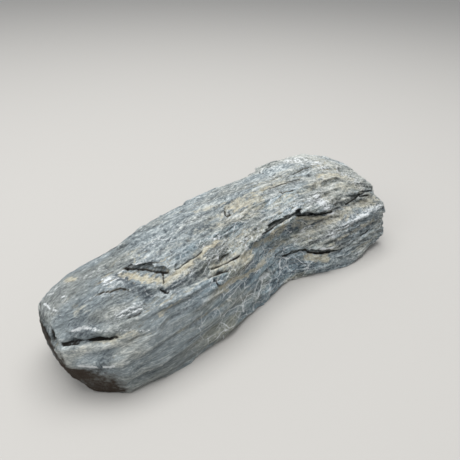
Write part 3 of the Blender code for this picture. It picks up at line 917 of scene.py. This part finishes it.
grain_place = attribute("grain", "Vector")
crack_shade_mask = attribute("crack_shade")
vein_mask = attribute("vein")
clay_mask = attribute("clay")
scratched_mask = attribute("scratched")
painted_light_and_tone_mask = attribute("painted_light_and_tone")
edge_mask = attribute("edge")
broad_mask = attribute("broad")
face_mask = attribute("smooth_face")
up_mask = attribute("upward")
cap_mask = attribute("cap")
painted_top_light_and_flecks_mask = attribute("painted_top_light_and_flecks")
stain_and_shade_mask = attribute("stain_and_shade")
web_mask = attribute("web")

broad_streaks = pattern(grain_place, (16, 60, 95), detail=5, roughness=0.6, distortion=0.5)
streaks = pattern(grain_place, (75, 210, 300), detail=5, roughness=0.62, distortion=0.7)
fine_streaks = pattern(grain_place, (240, 520, 640), detail=4, roughness=0.75, distortion=0.6)
mottle = pattern(grain_place, (420, 480, 520), detail=3, roughness=0.75, distortion=0.4)
clouds = pattern(grain_place, (18, 30, 30))
hue = pattern(grain_place, (14, 34, 40), detail=3, roughness=0.5)
hairlines = pattern(grain_place, (110, 950, 1150), detail=2, roughness=0.5)
plate_border = pattern(grain_place, (90, 300, 340), detail=3, roughness=0.6) * 1.6


def plates(scale, place):
    """A grey from 0 to 1 for each of many small plates, with ragged borders."""
    return cells(shifted(stretched(shifted(grain_place, place), scale), plate_border), output=1)


def scratches(scale, thinness, place):
    """Thin wandering lines, where a noise passes through its middle."""
    wander = pattern(shifted(grain_place, place), scale, detail=3, roughness=0.6, distortion=1.4)
    return (wander - MIDDLE).math("ABSOLUTE").fade(thinness, 0.0)


broad_plates = plates((38, 150, 190), place=0.11)
small_plates = plates((90, 320, 400), place=0.47)
print("nodes for the patterns:", len(rock.node_tree.nodes))

# %% [markdown]
# ## The grey of the rock
#
# One value, from dark to light, is the sum of the patterns and the masks, and it picks the grey. The patterns
# count less on the smooth face, the cap and the top, and more on the steep sides. Worn edges are lighter. The
# top towards the broad end is painted lighter, as the light that falls on it, the hollows are painted darker
# as their shade and broad ridges lighter, and the strokes add painted light and shade. The greys lean to
# green or blue in broad patches, and more to blue on the side.

# %% Colour the rock grey
DARK_GREY = (0.080, 0.092, 0.100, 1)
MID_GREY = (0.235, 0.258, 0.260, 1)
PALE_GREY = (0.56, 0.575, 0.555, 1)
BLUE_GREY = (0.81, 0.98, 1.10, 1)
GREEN_GREY = (1.09, 1.04, 0.88, 1)
DARK_TO_MID, MID_TO_PALE = (0.18, 0.52), (0.48, 0.86)
GREEN_TO_BLUE = (0.42, 0.6)
MEAN_LIGHT = 0.46

steep = (1 - up_mask) * (1 - face_mask)
contrast = summed(1.15, (face_mask, -0.65), (cap_mask, -0.6), (painted_top_light_and_flecks_mask, -0.2), (steep, 0.35))
tone = summed(
    0,
    (broad_streaks - MIDDLE, 0.55),
    (streaks - MIDDLE, 0.85),
    (fine_streaks - MIDDLE, 0.9),
    (broad_plates - MIDDLE, 0.12),
    (small_plates - MIDDLE, 0.10),
    (clouds - MIDDLE, 0.12),
)
speckle = (mottle - MIDDLE) * summed(0.85, (face_mask, -0.5), (painted_top_light_and_flecks_mask, -0.1))
speckle = speckle + (hairlines - MIDDLE) * summed(0.3, (face_mask, 0.3))
# Painted light and shade in the lift: the top painted lighter, hollows darker and broad ridges lighter, and
# the strokes' light and shade, with tone; pale worn edges are wear, the smooth face and the cap are tone
lift = summed(
    MEAN_LIGHT,
    (edge_mask, 0.10),
    (broad_mask, 0.05),
    (painted_top_light_and_flecks_mask, 0.13),
    (painted_light_and_tone_mask, 0.14),
    (face_mask, 0.03),
    (cap_mask, -0.03),
)
light = (tone * contrast + speckle + lift).limited()
grey = mixed(light.fade(*DARK_TO_MID), DARK_GREY, MID_GREY)
grey = mixed(light.fade(*MID_TO_PALE), grey, PALE_GREY)
tint = mixed((hue + web_mask * 0.07).fade(*GREEN_TO_BLUE), GREEN_GREY, BLUE_GREY)
grey = mixed(summed(0.3, (web_mask, 0.6)), grey, tint, blend="MULTIPLY")
print("nodes with the grey:", len(rock.node_tree.nodes))

# %% [markdown]
# ## Scratches, flecks and the web
#
# White scratches, flecks of calcite and a net of thin veins lie over the grey. The first two show under the
# strokes of the brush, and a little on edges and on the tops that are painted lighter. The web is the border
# between ragged cells, at two sizes, on the side alone. Two noises break it up, because an unbroken net would
# look like dried mud.

# %% Add scratches, flecks and the web
CALCITE = (0.74, 0.765, 0.77, 1)
WEB_THINNESS, FINE_WEB_THINNESS = 0.04, 0.05
FINE_WEB_SCALE = (2.3, 2.3, 2.3)

scratch_net = scratches((190, 330, 360), thinness=0.024, place=0.31)
scratch_net = scratch_net + scratches((240, 420, 460), thinness=0.022, place=0.83)
scratch_net = scratch_net * mottle.fade(0.38, 0.56)
scratch_share = summed(0, (clouds, 0.5), (streaks, 0.5), (painted_top_light_and_flecks_mask, 0.07), (edge_mask, 0.04))
scratch_share = scratch_share.fade(0.46, 0.62)
scratch_share = scratch_share * summed(0.25, (painted_top_light_and_flecks_mask, 0.25), (face_mask, -0.2)) + scratched_mask * 0.7
colour = mixed((scratch_net * scratch_share).limited(), grey, CALCITE)

fleck = summed(
    0,
    (fine_streaks, 0.5),
    (mottle, 0.5),
    (edge_mask, 0.05),
    (painted_top_light_and_flecks_mask, 0.04),
    (face_mask, -0.05),
    (scratched_mask * scratched_mask, 0.15),
)
fleck_share = summed(0.2, (painted_top_light_and_flecks_mask, 0.2), (scratched_mask, 0.6))
colour = mixed((fleck.fade(0.58, 0.68) * fleck_share).limited(), colour, CALCITE)

wave = pattern(grain_place, (45, 60, 60), detail=3, roughness=0.6) * 0.5
wavy = shifted(stretched(grain_place, (62, 95, 95)), wave)
web = cells(wavy, feature="DISTANCE_TO_EDGE").fade(WEB_THINNESS, 0.0)
fine_web = cells(stretched(wavy, FINE_WEB_SCALE), feature="DISTANCE_TO_EDGE").fade(FINE_WEB_THINNESS, 0.0)
web_lines = summed(0, (web, 0.9), (fine_web, 0.6))
web_breaks = pattern(grain_place, (50, 80, 80), detail=3).fade(0.32, 0.5) * mottle.fade(0.3, 0.5)
colour = mixed((web_lines * web_breaks * web_mask).limited(), colour, CALCITE)
print("nodes with the web:", len(rock.node_tree.nodes))

# %% [markdown]
# ## Clay, veins, stain and the painted shade of the cracks
#
# What the tables place comes last, in the order in which it covers the rock: clay and dirt, veins, the stain
# of the broken faces, painted nearly black as their shade too, and the painted shade of the cracks, dark
# through all of it. The patterns of the grain fray their borders.

# %% Add the clay, the veins, the stain with its painted shade, and the cracks' painted shade
CLAY_TAN = (0.36, 0.315, 0.215, 1)
CLAY_PALE = (0.58, 0.555, 0.45, 1)
# The crack colour is painted shade, and the stain is a brown that is painted nearly black as shade too
CRACK_SHADE = (0.020, 0.017, 0.014, 1)
BROWN_STAIN_AND_SHADE = (0.030, 0.019, 0.011, 1)
CLAY_STRENGTH, VEIN_STRENGTH = 0.85, 0.9

clay_cover = summed(-0.12, (clay_mask, 1), (streaks - MIDDLE, 1.2), (mottle - MIDDLE, 1.1)).fade(0.1, 0.95)
dirt = clouds.fade(0.48, 0.62) * (edge_mask * -1).fade(0.0, 0.8) * summed(0.25, (up_mask, 0.4))
dirt = dirt * (1 + painted_light_and_tone_mask).limited()
clay_colour = mixed(summed(0, (fine_streaks, 0.6), (mottle, 0.4)).fade(0.38, 0.60), CLAY_TAN, CLAY_PALE)
clay_share = clay_cover * clay_mask.fade(0.0, 0.3) * CLAY_STRENGTH + dirt
colour = mixed(clay_share.limited(), colour, clay_colour)

vein_line = summed(0, (vein_mask, 1), (fine_streaks - MIDDLE, 0.55), (mottle - MIDDLE, 0.75)).fade(0.62, 0.88)
colour = mixed(vein_line * VEIN_STRENGTH, colour, CALCITE)
# The brown stain, painted nearly black as the shade of the broken faces too
stain_and_shade_share = stain_and_shade_mask * summed(1.25, (clouds - MIDDLE, 1.6), (mottle - MIDDLE, 1))
colour = mixed(stain_and_shade_share.limited(), colour, BROWN_STAIN_AND_SHADE)
# The cracks' painted shade, dark over everything else
colour = mixed(crack_shade_mask.fade(0.3, 0.9), colour, CRACK_SHADE)
print("nodes with the cracks:", len(rock.node_tree.nodes))

# %% Join the finish and give it to the stone
BUMP_STRENGTH = 0.9
BUMP_HEIGHT = 0.0022
SPECULAR = 0.35

surface = rock.node_tree.nodes["Principled BSDF"]
roughness = summed(0.9, (light, -0.15))
height = summed(
    0,
    (streaks, 0.35),
    (fine_streaks, 0.5),
    (mottle, 0.3),
    (broad_plates, 0.3),
    (small_plates, 0.18),
)
bump = start.node("Bump", {"Strength": BUMP_STRENGTH, "Distance": BUMP_HEIGHT, "Height": height})
rock.node_tree.links.new(colour.socket, surface.inputs["Base Color"])
rock.node_tree.links.new(roughness.socket, surface.inputs["Roughness"])
rock.node_tree.links.new(bump.socket, surface.inputs["Normal"])
surface.inputs["Specular IOR Level"].default_value = SPECULAR
stone.data.materials.append(rock)
select_only(stone)
bpy.ops.object.shade_smooth()
print("nodes in the finish:", len(rock.node_tree.nodes))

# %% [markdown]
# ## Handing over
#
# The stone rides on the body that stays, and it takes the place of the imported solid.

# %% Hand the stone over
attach(stone, "root")
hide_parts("stone")
